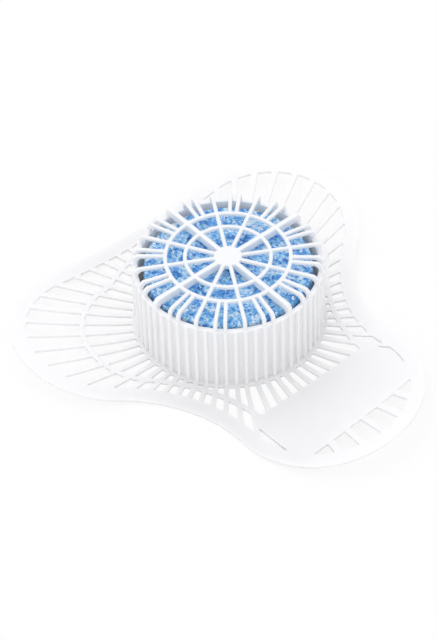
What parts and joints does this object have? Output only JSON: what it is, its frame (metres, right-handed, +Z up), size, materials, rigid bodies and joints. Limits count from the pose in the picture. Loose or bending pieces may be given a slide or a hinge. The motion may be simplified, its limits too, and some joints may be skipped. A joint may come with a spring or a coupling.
{
  "type": "urinal deodoriser screen",
  "caption": "Plastic urinal screen: a thin lobed and slotted mat with a fluted basket and a barred cage in its middle, holding a round blue scent block.",
  "frame": {"origin": "on the basket's axis, level with the underside of the basket and of the grid that closes it", "axes": "+Z up through the cage; -Y towards the long front lobe with the blank plate; +X to the right seen from that lobe; the mat's plan is mirror-symmetric across the plane x = 0"},
  "size_m": [0.2032, 0.2041, 0.0435],
  "materials": {
    "soft_white_plastic": "moulded soft white plastic, satin",
    "grid_white_plastic": "moulded white plastic, satin",
    "blue_scent_block": null
  },
  "bodies": {
    "root": {"screen": "soft_white_plastic", "block": "blue_scent_block", "base_grid": "grid_white_plastic"}
  },
  "joints": []
}
